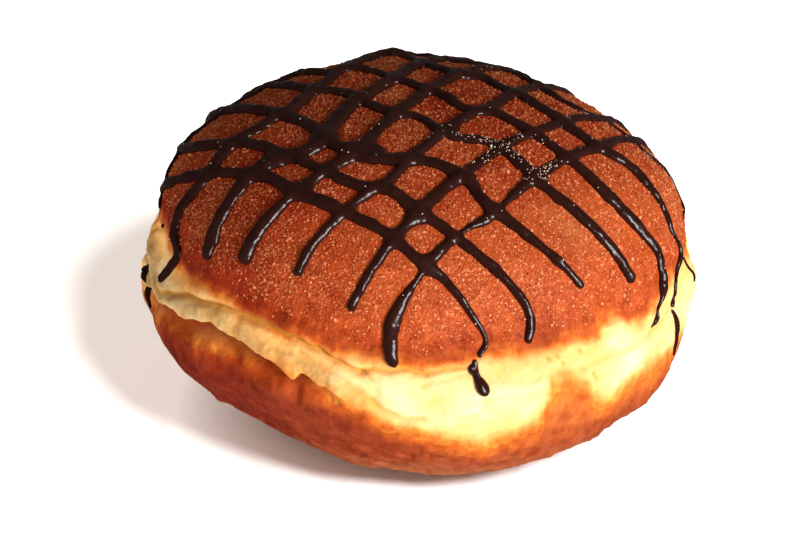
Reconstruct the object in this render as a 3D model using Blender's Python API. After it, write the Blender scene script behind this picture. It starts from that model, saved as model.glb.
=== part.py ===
"""A filled doughnut: a fried bun with brown crusts, a pale wrinkled waist and a lattice of chocolate.

The bun is one turned form, uneven all round. Places on it are given on its skin, as if that were
peeled flat from the middle of the top: x to the right, y to the back, in millimetres along the skin.
The drizzle's strokes are half-sunk strings of chocolate, fused to the bun, so all of it is one solid.
"""
import math

import bmesh
import bpy
from mathutils import Vector

MM = 0.001

# The bun's section, in millimetres: a full round above and below its widest height
RADIUS = 43.3
HEIGHT = 56.1
WIDEST_AT = 26.5
ROUNDNESS = 2.5
SIDE_TILT = 1.0
TOP_SHIFT = -6.2
BASE_SHIFT = 2.0

# How the outline of the top and of the base strays from a circle: lobes, share of the radius, and
# the angle in degrees at which the first lobe stands, times the number of lobes
TOP_LOBES = ((1, 0.040, 270), (2, 0.052, 41), (3, 0.035, -72), (4, 0.014, -36))
BASE_LOBES = ((2, 0.030, 160), (3, 0.010, 79), (4, 0.012, 70))

# The soft waist swells out round the widest height, more on the left than on the right
WAIST_SWELL = 1.6
WAIST_SWELL_LEFT = 2.7
WAIST_DROP = 1.0
WAIST_WIDTH = 8.0

# The base is pressed flat by this much, and the body is set over the middle of its own outline
FOOT_PRESS = 1.0
CENTRE_X = -2.43
CENTRE_Y = -0.22

# Long low lumps of the crust: height, turns round, turns from top to base, and where they start
LUMPS = ((0.30, 3, 2, 0.5), (0.25, 5, 3, 2.1), (0.15, 9, 5, 4.0))

# Broad bulges and dents of the skin: the place, how far one reaches, and its height
BULGES = (
    (-15.5, 30, 7.5, -2.2), (5, 27, 10, -0.4), (28, 21, 11, -0.2), (-1, 25, 3.5, 0.6), (-51.5, -2.5, 7, -2.5),
    (-55, -8.5, 4.5, 0.7), (-47, 2.5, 7.5, -0.5), (-57, -38, 9, 0.9), (-30, -74, 14, 0.8),
    (64, -38.5, 11, 1.0), (58, -8.5, 4, 1.7), (54.5, -4, 5, -1.8), (46, 6, 6, 0.5), (50, -62, 8, 0.5),
    (12, -77, 10, -0.3), (-2, 32, 18, -0.25),
)

# The waist's upper crease and the lip under it: angle round from the right, reach along the skin
CREASE = ((176, 49.3), (191, 49.5), (199, 51.5), (204, 53.8), (208, 54.6), (212, 53.3), (219, 51.5),
          (228, 50.4), (236, 50.7), (243, 51.7), (248, 53.0), (252, 54.3), (257, 55.8), (261, 58.5))
CREASE_DEPTH = 0.9
CREASE_HALF_WIDTH = 1.1
CREASE_FROM, CREASE_TO = 207, 259
LIP_EDGE = ((176, 52.0), (186, 52.0), (191, 52.2), (196, 53.4), (201, 56.0), (209, 55.6), (217, 55.2),
            (225, 53.3), (232, 54.2), (240, 56.2), (249, 58.2), (253, 60.2), (261, 62.5), (268, 64.0))
LIP_RISE = 0.8
LIP_FROM, LIP_TO = 188, 252
HOLLOW_DEPTH = 1.7
HOLLOW_WIDTH = 5.5
HOLLOW_FROM, HOLLOW_TO = 188, 243

# Mesh rings: their spacing along the skin on the crusts and on the waist, and the sectors round
CRUST_STEP = 5.0
WAIST_STEP = 2.0
WAIST_FROM, WAIST_TO = 48, 66
SECTORS = 56

# Drizzle strokes from the back left to the front right, then from the front left to the back right,
# then the drop in front and the short drips at the left and the right. Each is its width, then the
# places on the skin that it runs through.
STROKES = (
    (2.1, (-48, -2), (-40, -8.5), (-33, -12.5), (-20.5, -18.5), (-15, -24.5), (-3.5, -33.5), (1, -38),
     (6, -42), (9.5, -46.5), (11.5, -50), (10, -52.5)),
    (2.1, (-44, 9), (-38.5, 1), (-32, -5.5), (-19.5, -12), (-8, -23.5), (-2, -26), (3, -30.5),
     (16.5, -40.5), (20, -45), (19.5, -48.5)),
    (2.2, (-41.5, 20), (-35, 12), (-27, 4), (-13.5, -7), (-10, -13), (-5, -18.5), (0, -19.5), (6, -20),
     (11, -23), (15, -28.5), (28.5, -36.5)),
    (2.1, (-39, 30), (-32.5, 22), (-24.5, 15), (-17.5, 8), (-13.5, 4.5), (-8.5, 2.5), (-0.5, -5.5),
     (4, -7), (8.5, -12), (15, -13), (19.5, -17.5), (23, -21.5), (38, -30)),
    (2.1, (-33, 38), (-26.5, 28), (-19.5, 20), (-13, 13.5), (-8, 14), (-3, 11), (6.5, 2), (10, -3),
     (15, -4), (19.5, -7.5), (32, -17.5), (43, -21.5), (46.5, -26), (48, -33.5)),
    (2.1, (-22, 41), (-14.5, 32), (0, 24), (5, 17.5), (10, 11.5), (15, 10.5), (19, 4.5), (28.5, -5.5),
     (35.5, -7.5), (42.5, -11.5), (48.5, -15), (50.5, -21.5), (52, -25)),
    (1.8, (-12, 43), (-3.5, 35), (10, 25), (17, 22), (22, 16), (29, 6), (36.5, 6), (43, 4), (50, 2.5),
     (51, -1.5)),
    (1.9, (1.5, 46), (11, 41), (30, 30), (48, 17)),
    (1.9, (20.5, 45), (30.5, 38), (40, 30)),
    (1.9, (-44, -12), (-43, -8.5), (-40, -3), (-36, 3), (-30, 6), (-21.5, 18), (-7.5, 34), (0.5, 42)),
    (2.2, (-46, -24.5), (-43, -24.5), (-40.5, -24), (-39.5, -20), (-35.5, -17), (-30, -14.5), (-26, -9.5),
     (-20.5, -6), (-15.5, -1), (-13.5, 6.5), (-6, 21.5), (5.5, 39)),
    (2.4, (-33, -28.5), (-30.5, -26), (-27, -22.5), (-23, -18.5), (-18, -15.5), (-12, -14), (-9, -7.5),
     (-6, -1), (0.5, 10), (8, 26), (14.5, 35)),
    (2.1, (-26, -32.5), (-21, -28), (-10, -20), (-6, -16.5), (-2.5, -10.5), (5, 2.5), (10, 10), (22, 28),
     (28.5, 36)),
    (1.7, (-18, -37.5), (-14, -33.5), (-4.5, -26), (-1, -23.5), (2.5, -18.5), (6, -14), (10.5, -6),
     (14.5, -1.5), (19, 5.5), (29, 22), (36, 31)),
    (1.7, (-11, -44.5), (9.5, -23), (18, -11), (27, 0), (32.5, 6.5), (37.5, 16), (44, 24)),
    (1.8, (-6.5, -53), (-5.5, -49), (-2, -44.5), (8, -34.5), (14, -30), (18, -24.5), (26.5, -11),
     (30.5, -6.5), (37.5, 4.5), (46.5, 17)),
    (2.0, (8.5, -54), (9, -55.5), (10, -58)),
    (1.6, (-50.5, -16), (-52, -17.5), (-53.5, -18.5)),
    (1.2, (-55, -18.5), (-57, -19), (-58.5, -21)),
    (1.3, (52.5, -26), (54.5, -25.5), (58, -26.5), (60.5, -29)),
    (0.8, (49.5, -16), (51, -13.5), (54.5, -11), (58.5, -8.5)),
)
STROKE_STEP = 4.2
STROKE_SIDES = 5
STROKE_SINK = 0.17

# The pale waist lies between these heights. Looks are red, green, blue, then roughness.
WAIST_COLOUR_LOW, WAIST_COLOUR_HIGH = 20, 34
CRUST_LOOK = ((0.45, 0.11, 0.03), 0.6)
WAIST_LOOK = ((0.90, 0.70, 0.35), 0.6)
CHOCOLATE_LOOK = ((0.03, 0.010, 0.006), 0.15)


def remove_old_objects():
    for old in list(bpy.data.objects):
        bpy.data.objects.remove(old, do_unlink=True)


def make_material(name, look):
    colour, roughness = look
    material = bpy.data.materials.new(name)
    material.use_nodes = True
    shader = material.node_tree.nodes["Principled BSDF"]
    shader.inputs["Base Color"].default_value = (*colour, 1.0)
    shader.inputs["Roughness"].default_value = roughness
    shader.inputs["Metallic"].default_value = 0.0
    return material


def along(route, angle):
    """The reach of a crease at an angle in degrees, eased between the points of its route."""
    if angle <= route[0][0]:
        return route[0][1]
    for (a0, r0), (a1, r1) in zip(route, route[1:]):
        if angle <= a1:
            t = (angle - a0) / (a1 - a0)
            return r0 + (r1 - r0) * t * t * (3 - 2 * t)
    return route[-1][1]


def fade(angle, start, end, soft=8.0):
    """1 between two angles in degrees, falling to 0 over a soft stretch outside them."""
    outside = max(start - angle, angle - end, 0.0)
    return max(0.0, 1.0 - outside / soft)


def bump(distance, width):
    return math.exp(-(distance / width) ** 2)


def section(lift):
    """Outward share and upward share of the plain section at a lift angle, 90 degrees at the top."""
    power = 2 / ROUNDNESS
    return abs(math.cos(lift)) ** power, math.copysign(abs(math.sin(lift)) ** power, lift)


def skin_table(steps=720):
    """Pairs of reach along the skin and lift angle, down the mean section of the bun."""
    table = []
    reach = 0.0
    last = None
    for i in range(steps + 1):
        lift = math.pi / 2 - math.pi * i / steps
        out, up = section(lift)
        z = WIDEST_AT + (HEIGHT - WIDEST_AT if up > 0 else WIDEST_AT) * up
        swell = WAIST_SWELL * bump(z - WIDEST_AT + WAIST_DROP, WAIST_WIDTH)
        r = RADIUS * out + swell if i > 0 else 0.0
        if last:
            reach += math.hypot(r - last[0], z - last[1])
        last = (r, z)
        table.append((reach, lift))
    return table


SKIN = skin_table()
SKIN_LENGTH = SKIN[-1][0]


def lift_at(reach):
    low, high = 0, len(SKIN) - 1
    while high - low > 1:
        middle = (low + high) // 2
        if SKIN[middle][0] <= reach:
            low = middle
        else:
            high = middle
    (r0, l0), (r1, l1) = SKIN[low], SKIN[high]
    return l0 + (l1 - l0) * (reach - r0) / (r1 - r0)


def relief(around, reach):
    """How far the skin stands out from the plain form, in millimetres: lumps, bulges, crease, lip."""
    rise = 0.0
    flank = math.sin(math.pi * min(reach / SKIN_LENGTH, 1.0))
    for height, turns, falls, start in LUMPS:
        rise += height * flank * math.sin(turns * around + falls * math.pi * reach / SKIN_LENGTH + start)
    x, y = reach * math.cos(around), reach * math.sin(around)
    for at_x, at_y, far, height in BULGES:
        rise += height * bump(math.hypot(x - at_x, y - at_y), far)
    angle = math.degrees(around) % 360
    crease = along(CREASE, angle)
    edge = along(LIP_EDGE, angle)
    groove = bump(reach - crease, CREASE_HALF_WIDTH)
    roll = bump(reach - (crease + edge) / 2, (edge - crease) / 2)
    hollow = bump(reach - edge - HOLLOW_WIDTH / 2, HOLLOW_WIDTH / 2)
    rise -= CREASE_DEPTH * fade(angle, CREASE_FROM, CREASE_TO) * groove
    rise += LIP_RISE * fade(angle, LIP_FROM, LIP_TO) * roll
    rise -= HOLLOW_DEPTH * fade(angle, HOLLOW_FROM, HOLLOW_TO, 12.0) * hollow
    return rise


def outline(around, lobes):
    return 1 + sum(share * math.cos(count * around - math.radians(start)) for count, share, start in lobes)


def plain_point(around, reach):
    lift = lift_at(reach)
    out, up = section(lift)
    widest = WIDEST_AT - SIDE_TILT * math.cos(around)
    z = widest + (HEIGHT - widest if up > 0 else widest) * up
    top_share = (1 + math.sin(lift)) / 2
    uneven = top_share * outline(around, TOP_LOBES) + (1 - top_share) * outline(around, BASE_LOBES)
    swell = WAIST_SWELL - WAIST_SWELL_LEFT * math.cos(around)
    r = RADIUS * uneven * out + swell * bump(z - widest + WAIST_DROP, WAIST_WIDTH)
    shift = TOP_SHIFT * up if up > 0 else -BASE_SHIFT * up
    return Vector((r * math.cos(around) + shift, r * math.sin(around), z))


def skin_normal(around, reach):
    small = 0.3
    reach = min(max(reach, 1.0), SKIN_LENGTH - 1.0)
    down = plain_point(around, reach + small) - plain_point(around, reach - small)
    turn = plain_point(around + 0.01, reach) - plain_point(around - 0.01, reach)
    return down.cross(turn).normalized()


def dough_point(around, reach, out=0.0):
    """A point of the bun in millimetres, standing out from its skin by a given amount."""
    normal = skin_normal(around, reach)
    point = plain_point(around, reach) + normal * (relief(around, reach) + out)
    point.x -= CENTRE_X
    point.y -= CENTRE_Y
    point.z = max(point.z - FOOT_PRESS, 0.0)
    return point


def ring_reaches():
    reaches = []
    reach = 0.0
    while reach < SKIN_LENGTH - CRUST_STEP:
        on_waist = WAIST_FROM <= reach < WAIST_TO
        reach += WAIST_STEP if on_waist else CRUST_STEP
        reaches.append(reach)
    return reaches


def make_bun(materials):
    mesh = bmesh.new()
    top = mesh.verts.new(dough_point(0.0, 0.0) * MM)
    rings = []
    for reach in ring_reaches():
        ring = [mesh.verts.new(dough_point(2 * math.pi * i / SECTORS, reach) * MM) for i in range(SECTORS)]
        rings.append(ring)
    base = mesh.verts.new(dough_point(0.0, SKIN_LENGTH) * MM)
    for i in range(SECTORS):
        j = (i + 1) % SECTORS
        mesh.faces.new((top, rings[0][i], rings[0][j]))
        mesh.faces.new((base, rings[-1][j], rings[-1][i]))
        for upper, lower in zip(rings, rings[1:]):
            mesh.faces.new((upper[i], lower[i], lower[j], upper[j]))
    bmesh.ops.recalc_face_normals(mesh, faces=mesh.faces)
    waist_low, waist_high = WAIST_COLOUR_LOW * MM, WAIST_COLOUR_HIGH * MM
    for face in mesh.faces:
        face.material_index = 1 if waist_low < face.calc_center_median().z < waist_high else 0
    return finish_mesh(mesh, "doughnut", materials)


def finish_mesh(mesh, name, materials):
    data = bpy.data.meshes.new(name)
    mesh.to_mesh(data)
    mesh.free()
    for material in materials:
        data.materials.append(material)
    piece = bpy.data.objects.new(name, data)
    bpy.context.scene.collection.objects.link(piece)
    return piece


def smooth_route(points, step):
    """Places about one step apart on a smooth curve through the given places."""
    knots = [Vector(p) for p in points]
    knots = [2 * knots[0] - knots[1], *knots, 2 * knots[-1] - knots[-2]]
    route = []
    for p0, p1, p2, p3 in zip(knots, knots[1:], knots[2:], knots[3:]):
        count = max(1, round((p2 - p1).length / step))
        for i in range(count):
            t = i / count
            route.append(0.5 * (2 * p1 + (p2 - p0) * t + (2 * p0 - 5 * p1 + 4 * p2 - p3) * t * t
                                + (3 * p1 - p0 - 3 * p2 + p3) * t * t * t))
    route.append(knots[-2])
    return route


def make_stroke(name, width, points, material):
    """A string of chocolate along the skin, half sunk in it, with rounded ends."""
    places = smooth_route(points, STROKE_STEP)
    radius = width / 2
    spots = []
    for place in places:
        around, reach = math.atan2(place.y, place.x), place.length
        spots.append((dough_point(around, reach, -STROKE_SINK), skin_normal(around, reach)))
    mesh = bmesh.new()
    rings = []
    for k, (centre, normal) in enumerate(spots):
        before, after = spots[max(k - 1, 0)][0], spots[min(k + 1, len(spots) - 1)][0]
        forward = (after - before).normalized()
        side = forward.cross(normal).normalized()
        up = side.cross(forward)
        size = radius * (0.75 if k in (0, len(spots) - 1) else 1.0)
        ring = []
        for i in range(STROKE_SIDES):
            turn = 2 * math.pi * (i + 0.5) / STROKE_SIDES
            ring.append(mesh.verts.new((centre + size * (math.cos(turn) * side + math.sin(turn) * up)) * MM))
        rings.append(ring)
    tips = []
    for ring, (centre, _), (inner, _) in ((rings[0], spots[0], spots[1]), (rings[-1], spots[-1], spots[-2])):
        tips.append(mesh.verts.new((centre + (centre - inner).normalized() * radius * 0.7) * MM))
    for i in range(STROKE_SIDES):
        j = (i + 1) % STROKE_SIDES
        mesh.faces.new((tips[0], rings[0][i], rings[0][j]))
        mesh.faces.new((tips[1], rings[-1][j], rings[-1][i]))
        for near, far in zip(rings, rings[1:]):
            mesh.faces.new((near[i], far[i], far[j], near[j]))
    bmesh.ops.recalc_face_normals(mesh, faces=mesh.faces)
    return finish_mesh(mesh, name, [material])


def fuse(bun, strokes):
    """One union of the bun with every stroke, after which the strokes are no longer needed."""
    drizzle = bpy.data.collections.new("drizzle")
    bpy.context.scene.collection.children.link(drizzle)
    for stroke in strokes:
        bpy.context.scene.collection.objects.unlink(stroke)
        drizzle.objects.link(stroke)
    union = bun.modifiers.new("drizzle", "BOOLEAN")
    union.operation = "UNION"
    union.operand_type = "COLLECTION"
    union.collection = drizzle
    bpy.context.view_layer.objects.active = bun
    bpy.ops.object.modifier_apply(modifier=union.name)
    for stroke in strokes:
        bpy.data.objects.remove(stroke, do_unlink=True)
    bpy.data.collections.remove(drizzle)


def main():
    remove_old_objects()
    crust = make_material("crust", CRUST_LOOK)
    waist = make_material("waist", WAIST_LOOK)
    chocolate = make_material("chocolate", CHOCOLATE_LOOK)
    bun = make_bun([crust, waist, chocolate])
    strokes = [make_stroke("stroke_%02d" % i, width, points, chocolate)
               for i, (width, *points) in enumerate(STROKES)]
    fuse(bun, strokes)
    bun.data.shade_smooth()
    bun.data.set_sharp_from_angle(angle=math.radians(40))


main()
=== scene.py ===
"""The filled doughnut as it looks: browned and pale dough, glossy chocolate drizzle and sugar crystals.

The dough repeats the solid's own form from the same sizes, with finer creases. Places on the bun are
given on its skin, as if peeled flat from the middle of the top: x to the right, y to the back, in mm.
"""

import math

import bpy
import numpy as np
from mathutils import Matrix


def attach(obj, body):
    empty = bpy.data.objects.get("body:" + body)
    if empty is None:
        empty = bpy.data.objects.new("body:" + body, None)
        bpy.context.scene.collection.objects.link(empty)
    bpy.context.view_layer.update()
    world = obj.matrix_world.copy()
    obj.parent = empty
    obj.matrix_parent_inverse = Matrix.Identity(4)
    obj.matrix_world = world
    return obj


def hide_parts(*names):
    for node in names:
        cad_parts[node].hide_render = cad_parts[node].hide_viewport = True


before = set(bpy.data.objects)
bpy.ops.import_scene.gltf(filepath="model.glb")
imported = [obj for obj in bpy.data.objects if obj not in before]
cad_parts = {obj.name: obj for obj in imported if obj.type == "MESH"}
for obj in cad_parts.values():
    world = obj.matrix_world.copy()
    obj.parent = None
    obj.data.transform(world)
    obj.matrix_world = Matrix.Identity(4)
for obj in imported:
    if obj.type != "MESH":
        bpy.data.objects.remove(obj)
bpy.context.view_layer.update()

MM = 0.001
SEED = 7

# The bun's section, outline and waist, in millimetres, as in the solid
RADIUS = 43.3
HEIGHT = 56.1
WIDEST_AT = 26.5
ROUNDNESS = 2.5
SIDE_TILT = 1.0
TOP_SHIFT = -6.2
BASE_SHIFT = 2.0
TOP_LOBES = ((1, 0.040, 270), (2, 0.052, 41), (3, 0.035, -72), (4, 0.014, -36))
BASE_LOBES = ((2, 0.030, 160), (3, 0.010, 79), (4, 0.012, 70))
WAIST_SWELL = 1.6
WAIST_SWELL_LEFT = 2.7
WAIST_DROP = 1.0
WAIST_WIDTH = 8.0
FOOT_PRESS = 1.0
CENTRE = (-2.43, -0.22)
LUMPS = ((0.30, 3, 2, 0.5), (0.25, 5, 3, 2.1), (0.15, 9, 5, 4.0))

# Broad bulges and dents of the skin: the place, how far one reaches, and its height
BULGES = (
    (-15.5, 30, 7.5, -2.2), (5, 27, 10, -0.4), (28, 21, 11, -0.2), (-1, 25, 3.5, 0.6), (-51.5, -2.5, 7, -2.5),
    (-55, -8.5, 4.5, 0.7), (-47, 2.5, 7.5, -0.5), (-57, -38, 9, 0.9), (-30, -74, 14, 0.8),
    (64, -38.5, 11, 1.0), (58, -8.5, 4, 1.7), (54.5, -4, 5, -1.8), (46, 6, 6, 0.5), (50, -62, 8, 0.5),
    (12, -77, 10, -0.3), (-2, 32, 18, -0.25),
)

# The waist's main crease, and the torn lower edge of the lip under it: angle round, reach along the skin
CREASE = ((176, 49.3), (191, 49.5), (199, 51.5), (204, 53.8), (208, 54.6), (212, 53.3), (219, 51.5), (228, 50.4),
          (236, 50.7), (243, 51.7), (248, 53.0), (252, 54.3), (257, 55.8), (261, 58.5))
LIP_EDGE = ((176, 52.0), (186, 52.0), (191, 52.2), (196, 53.4), (201, 56.0), (209, 55.6), (213, 54.8), (217, 55.2),
            (221, 54.2), (225, 53.3), (232, 54.2), (240, 56.2), (243, 58.4), (245, 57.0), (249, 58.2),
            (253, 60.2), (261, 62.5), (268, 64.0))
CREASE_SPAN, CREASE_SOFT = (207, 256), 3.0
LIP_SPAN, LIP_SOFT = (186, 252), 9.0
HOLLOW_SPAN, HOLLOW_SOFT = (184, 243), 9.0
CREASE_DEPTH, CREASE_HALF_WIDTH = 1.0, 0.42
LIP_RISE, LIP_OVERHANG = 0.9, 0.7
HOLLOW_DEPTH, HOLLOW_WIDTH = 2.0, 5.5
LIP_SHARPNESS = 0.3
WAIST_RADIUS = 44.0

# Lesser folds of the waist: depth, half width, share of the golden tint, which is painted crease shade, then angle and
# reach
FOLDS = (
    (0.90, 0.50, 0.4, (181, 55.5), (190, 53.7), (195.5, 53.0), (198.5, 53.5), (201, 54.6), (205, 55.4)),
    (0.60, 0.38, 0.8, (256.5, 55.7), (259, 55.1), (262, 55.5), (266, 54.9), (269, 56.0), (273, 55.2), (277, 55.3)),
    (0.30, 0.50, 0.3, (268, 57.9), (270, 57.2), (273, 57.0), (276, 56.2), (279, 56.3)),
    (0.45, 0.60, 0.5, (252, 56.8), (254, 58.1), (257, 60.2), (260, 62.2), (263, 63.6), (267, 63.8)),
    (0.35, 0.55, 0.5, (245, 53.8), (247, 54.9), (250, 55.6), (253, 56.9), (256, 58.5)),
    (0.25, 0.55, 0.3, (290, 59.0), (293, 58.3), (300, 59.1), (310, 59.0), (318, 59.4), (328, 58.8), (336, 57.0)),
    (0.22, 0.60, 0.2, (276, 61.2), (283, 60.5), (290, 61.2)),
    (0.30, 0.35, 0.4, (239, 54.2), (243, 54.3)),
    (0.55, 0.45, 0.6, (190.5, 51), (194, 49), (198.5, 46.8)),
)

# Small scorched pits of the waist: the place on the skin, and the radius
PITS = ((23.8, -50.8, 0.5), (25.5, -49.8, 0.45), (26.8, -50.5, 0.4), (30.3, -47.3, 0.5), (35.0, -49.8, 0.6),
        (36.2, -50.2, 0.45), (-21.2, -57.5, 0.4), (-20.0, -58.0, 0.4), (-18.9, -57.2, 0.45))

# Where the upper crust ends and the lower crust begins, as angle and reach
UPPER_EDGE = ((190, 47.5), (197, 45.2), (203, 45.0), (207, 46.8), (212, 48.0), (217, 48.4), (222, 48.3),
              (229, 48.4), (232, 49.5), (237, 49.9), (242, 51.2), (246, 51.0), (250, 52.3), (262, 52.7),
              (269, 53.8), (277, 53.2), (299, 53.7), (306, 54.0), (313, 52.3), (321, 55.4), (336, 52.4),
              (343, 51.5), (349, 53.5), (356, 55.5), (366, 55.0), (395, 53.5), (440, 51.5), (490, 53.0), (530, 51.0), (550, 47.5))
LOWER_EDGE = ((190, 61.5), (205, 60.0), (211, 58.5), (218, 58.0), (224, 57.5), (231, 57.0), (238, 57.0),
              (245, 57.8), (249, 59.3), (256, 62.4), (260, 65.4), (265, 67.0), (268, 67.8), (272.7, 68.7),
              (278, 70.0), (283, 68.9), (287.5, 68.2), (290, 67.2), (291.6, 65.8), (292.8, 63.3), (294.5, 60.4),
              (298, 59.9), (302, 62.8), (305.5, 66.4), (308, 68.0), (312, 67.3), (320, 65.4), (330, 65.3), (336, 66.8),
              (344, 68.0), (360, 66.5), (400, 66.5), (450, 64.0), (500, 66.5), (540, 63.0),
              (550, 63.0))

# Drizzle strokes, as in the solid: widths from start to end, then the places on the skin
STROKES = (
    ((1.8, 2.1, 2.2, 2.0, 1.0), (-48, -2), (-40, -8.5), (-33, -12.5), (-20.5, -18.5), (-15, -24.5),
     (-3.5, -33.5), (1, -38), (6, -42), (9.5, -46.5), (11.5, -50), (10, -52.5)),
    ((2.0, 2.2, 1.9, 2.3, 1.6), (-44, 9), (-38.5, 1), (-32, -5.5), (-19.5, -12), (-8, -23.5), (-2, -26),
     (3, -30.5), (16.5, -40.5), (20, -45), (19.5, -48.5)),
    ((2.1, 2.3, 2.2, 2.2, 1.6), (-41.5, 20), (-35, 12), (-27, 4), (-13.5, -7), (-10, -13), (-5, -18.5),
     (0, -19.5), (6, -20), (11, -23), (15, -28.5), (28.5, -36.5)),
    ((2.0, 2.2, 1.9, 2.0, 2.4), (-39, 30), (-32.5, 22), (-24.5, 15), (-17.5, 8), (-13.5, 4.5), (-8.5, 2.5),
     (-0.5, -5.5), (4, -7), (8.5, -12), (15, -13), (19.5, -17.5), (23, -21.5), (38, -30)),
    ((2.1, 2.2, 2.3, 2.2, 2.1, 2.1, 2.2, 2.4, 1.9), (-33, 38), (-26.5, 28), (-19.5, 20), (-13, 13.5),
     (-8, 14), (-3, 11), (6.5, 2), (10, -3), (15, -4), (19.5, -7.5), (32, -17.5), (39.5, -20.5),
     (43, -21.5), (45, -23.5), (46.5, -26)),
    ((2.0, 2.1, 2.2, 2.2, 2.2, 2.5, 2.2, 1.1, 1.0), (-22, 41), (-14.5, 32), (0, 24), (5, 17.5), (10, 11.5),
     (15, 10.5), (19, 4.5), (28.5, -5.5), (35.5, -7.5), (39.5, -9.5), (42.5, -11.5), (45, -14), (48.5, -15),
     (49.5, -18), (50.5, -21.5), (52, -23.5), (52, -25)),
    ((1.9, 2.0, 2.0, 2.0, 2.0, 1.9, 1.8, 1.5, 0.8, 1.1, 0.9, 0.5), (-12, 43), (-3.5, 35), (10, 25), (17, 22),
     (22, 16), (26, 9), (29, 6), (33, 7), (36.5, 6), (39.5, 3.5), (43, 4), (46.5, 4.5), (50, 2.5),
     (51, -1.5)),
    ((1.8, 1.9, 2.0, 1.9, 1.9), (1.5, 46), (11, 41), (30, 30), (48, 17)),
    ((1.8, 1.9, 1.9, 1.9, 1.8), (20.5, 45), (30.5, 38), (40, 30)),
    ((0.9, 1.6, 2.0, 1.9, 1.8), (-43.4, -11), (-42.6, -8), (-40, -3), (-36, 3), (-30, 6), (-21.5, 18),
     (-7.5, 34), (0.5, 42)),
    ((1.9, 2.2, 2.5, 2.2, 2.0), (-46, -24.5), (-43, -24.5), (-40.5, -24), (-39.5, -20), (-35.5, -17),
     (-30, -14.5), (-26, -9.5), (-20.5, -6), (-15.5, -1), (-13.5, 6.5), (-6, 21.5), (5.5, 39)),
    ((2.4, 2.6, 2.6, 2.3, 2.0), (-33, -28.5), (-30.5, -26), (-27, -22.5), (-23, -18.5), (-18, -15.5),
     (-12, -14), (-9, -7.5), (-6, -1), (0.5, 10), (8, 26), (14.5, 35)),
    ((2.3, 2.2, 2.0, 2.2, 2.0), (-26, -32.5), (-21, -28), (-10, -20), (-6, -16.5), (-2.5, -10.5), (5, 2.5),
     (10, 10), (22, 28), (28.5, 36)),
    ((1.5, 1.7, 1.8, 1.6, 2.0), (-18, -37.5), (-14, -33.5), (-4.5, -26), (-1, -23.5), (2.5, -18.5), (6, -14),
     (10.5, -6), (14.5, -1.5), (19, 5.5), (29, 22), (36, 31)),
    ((1.5, 1.9, 1.6, 1.4, 1.9), (-11, -44.5), (9.5, -23), (18, -11), (27, 0), (32.5, 6.5), (37.5, 16),
     (44, 24)),
    ((2.8, 1.9, 1.7, 1.5, 1.7), (-6.5, -53), (-5.5, -49), (-2, -44.5), (8, -34.5), (14, -30), (18, -24.5),
     (26.5, -11), (30.5, -6.5), (34, -0.5), (37.5, 4.5), (42, 12), (46.5, 17)),
    ((1.0, 1.3, 2.4), (9, -53.8), (9, -55.6), (9.8, -57.7)),
    ((0.9, 1.7, 1.4), (-51.2, -16.8), (-52, -18), (-52.4, -19.5)),
    ((0.9, 1.3, 0.7), (-55.2, -17.8), (-56.3, -19), (-57.4, -20.6)),
    ((0.8, 1.4, 1.3, 0.7), (52.5, -26), (54.5, -25.5), (58, -26.5), (60.5, -29)),
    ((0.7, 0.6, 0.7, 0.6, 0.4), (50, -15), (52, -13.3), (54.2, -12), (56.3, -11.2), (57.8, -11.5)),
    ((1.7, 1.0, 0.5), (46.4, -25.8), (47.3, -27.8), (47, -30.2)),
    ((0.5, 1.2, 1.1, 0.4), (47.1, -30.6), (47.8, -31.5), (47.9, -32.6), (47.6, -33.7)),
)

# Pools where strokes cross, as a place and a radius, and the short spur beside the drop
POOLS = ((-10.5, -11.5, 1.9), (-7.0, -16.0, 1.9), (-3.5, -17.5, 2.0), (0.5, -19.3, 1.6), (8.5, -10.5, 1.4),
         (2.8, -30.6, 1.9), (-2.0, -34.8, 1.6), (2.8, -39.3, 1.5), (11.0, -22.4, 1.7), (15.2, -28.3, 1.6),
         (21.5, -19.2, 1.5), (-18.2, -15.2, 1.9), (9.9, -57.8, 1.4), (-43.4, -15.6, 0.4), (8.2, -55.1, 0.8), (-1.0, 25.0, 2.0))

# The drizzle's bead: its height, how far that and its edges stray, the blur where strokes meet, and
# the cells of its mesh
BEAD_HEIGHT = 0.85
BEAD_CENTRE = 0.05
BEAD_STRAY = 0.22
BEAT = 2.4
EDGE_STRAY = 0.13
MEET_BLUR = 0.30
CELL = 0.21
LAYERS, LAYER_STEP = 12, 0.2

# The stroke that runs thin in places: where, how far that reaches, and the share of the width left
THIN_STROKE = 15
THIN_PLACES = ((1, -41.5, 3.5, 0.45), (9.5, -33.5, 3.0, 0.40), (16, -27.5, 3.5, 0.45))

# Sugar: how many crystals of each kind, and their edge lengths
DUST_SUGAR, DUST_SIZE = 34000, (0.18, 0.40)
FINE_SUGAR, FINE_SIZE = 7000, (0.18, 0.34)
COARSE_SUGAR, COARSE_SIZE = 300, (0.32, 0.50)

# Where sugar lies on the chocolate too: the place, and how far that reaches
DUSTED = ((14.0, -14.5, 5.0), (22.0, -17.5, 3.5))
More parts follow.
